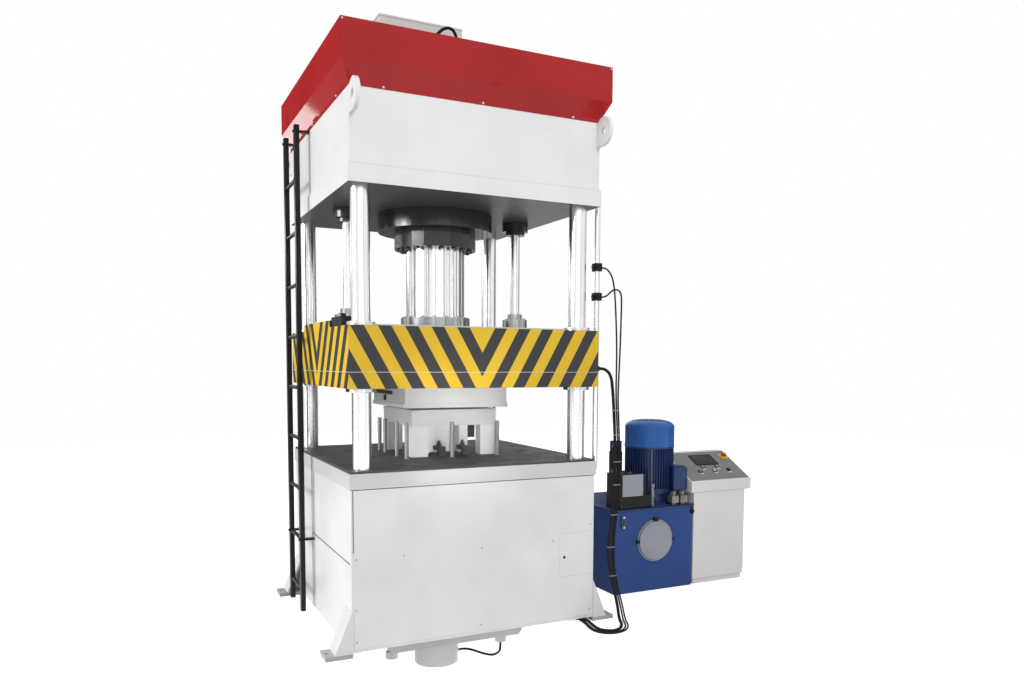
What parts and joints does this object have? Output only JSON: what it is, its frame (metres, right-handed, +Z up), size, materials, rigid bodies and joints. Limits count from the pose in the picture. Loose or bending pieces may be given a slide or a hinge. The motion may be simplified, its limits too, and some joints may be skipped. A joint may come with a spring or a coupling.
{
  "type": "hydraulic press",
  "caption": "Four-column hydraulic press with a sliding ram plate between crown and bed, a die cushion below, an oil tank with upright motor, and a control desk.",
  "frame": {"origin": "On the floor plane, midway between the four foundation bolt holes, under the centre of the press.", "axes": "+X runs to the right along the front of the press, towards the oil tank and the desk; +Y runs from the front to the back; +Z is up, along the ram's stroke."},
  "size_m": [3.433, 2.0279, 4.054],
  "materials": {
    "white_paint": "semi-gloss sprayed enamel on welded plate",
    "red_paint": "gloss sprayed enamel on folded sheet",
    "yellow_paint": "semi-gloss enamel with dark grey hazard stripes",
    "black_paint": "satin enamel",
    "light_grey_paint": "satin enamel",
    "tank_blue_paint": "gloss enamel",
    "motor_blue_paint": "satin enamel on cast housings",
    "console_paint": "fine-textured powder coat",
    "dark_steel": "oil-blackened machined steel",
    "bright_steel": "turned and ground steel",
    "machined_steel": "milled steel",
    "chrome": "hard chrome, ground and polished",
    "aluminium": "turned aluminium",
    "black_plastic": "moulded, fine texture",
    "cable_sheath": "extruded cable sheath",
    "hose_rubber": "wrapped rubber hose",
    "gauge_plastic": "clear-fronted moulding",
    "screen_glass": "smooth display in a grey bezel",
    "red_plastic": "moulded",
    "green_plastic": "moulded",
    "white_plastic": "moulded"
  },
  "bodies": {
    "frame": {"bed_frame": "white_paint", "bed_top_plate": "white_paint", "bolster_plate": "dark_steel", "front_panel": "white_paint", "anchor_feet": "white_paint", "column_front_left": "chrome", "column_front_right": "chrome", "column_back_left": "chrome", "column_back_right": "chrome", "column_nuts": "dark_steel", "crown_frame": "white_paint", "top_cover": "red_paint", "lifting_eyes": "white_paint", "main_cylinder": "dark_steel", "gland_ring": "dark_steel", "return_cylinders": "dark_steel", "ladder": "black_paint", "limit_switch_rod": "bright_steel", "limit_switches": "black_plastic", "switch_leads": "cable_sheath", "slide_cable": "cable_sheath", "bed_cable_gland": "black_plastic", "roof_box": "light_grey_paint", "roof_hose": "hose_rubber", "cushion_carrier": "white_paint", "cushion_cylinder": "white_paint", "cushion_hose": "hose_rubber", "lower_die_block": "machined_steel", "lower_die_plate": "machined_steel", "die_posts": "light_grey_paint", "die_clamps": "dark_steel", "oil_tank": "tank_blue_paint", "clean_out_cover": "aluminium", "level_gauge": "gauge_plastic", "bell_housing": "motor_blue_paint", "motor_body": "motor_blue_paint", "fan_cover": "motor_blue_paint", "terminal_box": "motor_blue_paint", "valve_manifold": "dark_steel", "control_valves": "aluminium", "oil_filter": "tank_blue_paint", "console_cabinet": "console_paint", "console_desk": "console_paint", "touch_screen": "screen_glass"},
    "slide": {"slide_frame": "yellow_paint", "guide_bushes": "black_paint", "ram": "chrome", "ram_clamp_ring": "dark_steel", "return_rods": "bright_steel", "upper_die": "machined_steel", "lubricator": "black_plastic", "slide_cable_gland": "black_plastic"},
    "cushion": {"cushion_rod": "bright_steel", "cushion_pins": "bright_steel"},
    "door": {"inspection_door": "white_paint"},
    "rotor": {"motor_rotor": "bright_steel"},
    "stop": {"emergency_stop": "red_plastic"},
    "start": {"start_button": "green_plastic"},
    "raise": {"raise_button": "white_plastic"},
    "lower": {"lower_button": "black_plastic"}
  },
  "joints": [
    {"name": "slide_stroke", "type": "slide", "parent": "frame", "child": "slide", "axis": [0, 0, 1], "range_m": [-0.008, 0.42], "deforming": ["slide_cable"]},
    {"name": "cushion_lift", "type": "slide", "parent": "frame", "child": "cushion", "axis": [0, 0, 1], "range_m": [-0.225, 0]},
    {"name": "door_hinge", "type": "hinge", "parent": "frame", "child": "door", "pos_m": [0.7694, -0.781, 0.458], "axis": [0, 0, 1], "range_deg": [0, 110]},
    {"name": "motor_spin", "type": "hinge", "parent": "frame", "child": "rotor", "pos_m": [1.722, -0.065, 0.9], "axis": [0, 0, 1], "continuous": true},
    {"name": "emergency_stop_press", "type": "slide", "parent": "frame", "child": "stop", "axis": [0, 0.4726, -0.8813], "range_m": [0, 0.004]},
    {"name": "start_press", "type": "slide", "parent": "frame", "child": "start", "axis": [0, 0.4726, -0.8813], "range_m": [0, 0.004], "stiffness_N_per_m": 800, "springref_m": -0.002},
    {"name": "raise_press", "type": "slide", "parent": "frame", "child": "raise", "axis": [0, 0.4726, -0.8813], "range_m": [0, 0.004], "stiffness_N_per_m": 800, "springref_m": -0.002},
    {"name": "lower_press", "type": "slide", "parent": "frame", "child": "lower", "axis": [0, 0.4726, -0.8813], "range_m": [0, 0.004], "stiffness_N_per_m": 800, "springref_m": -0.002}
  ]
}
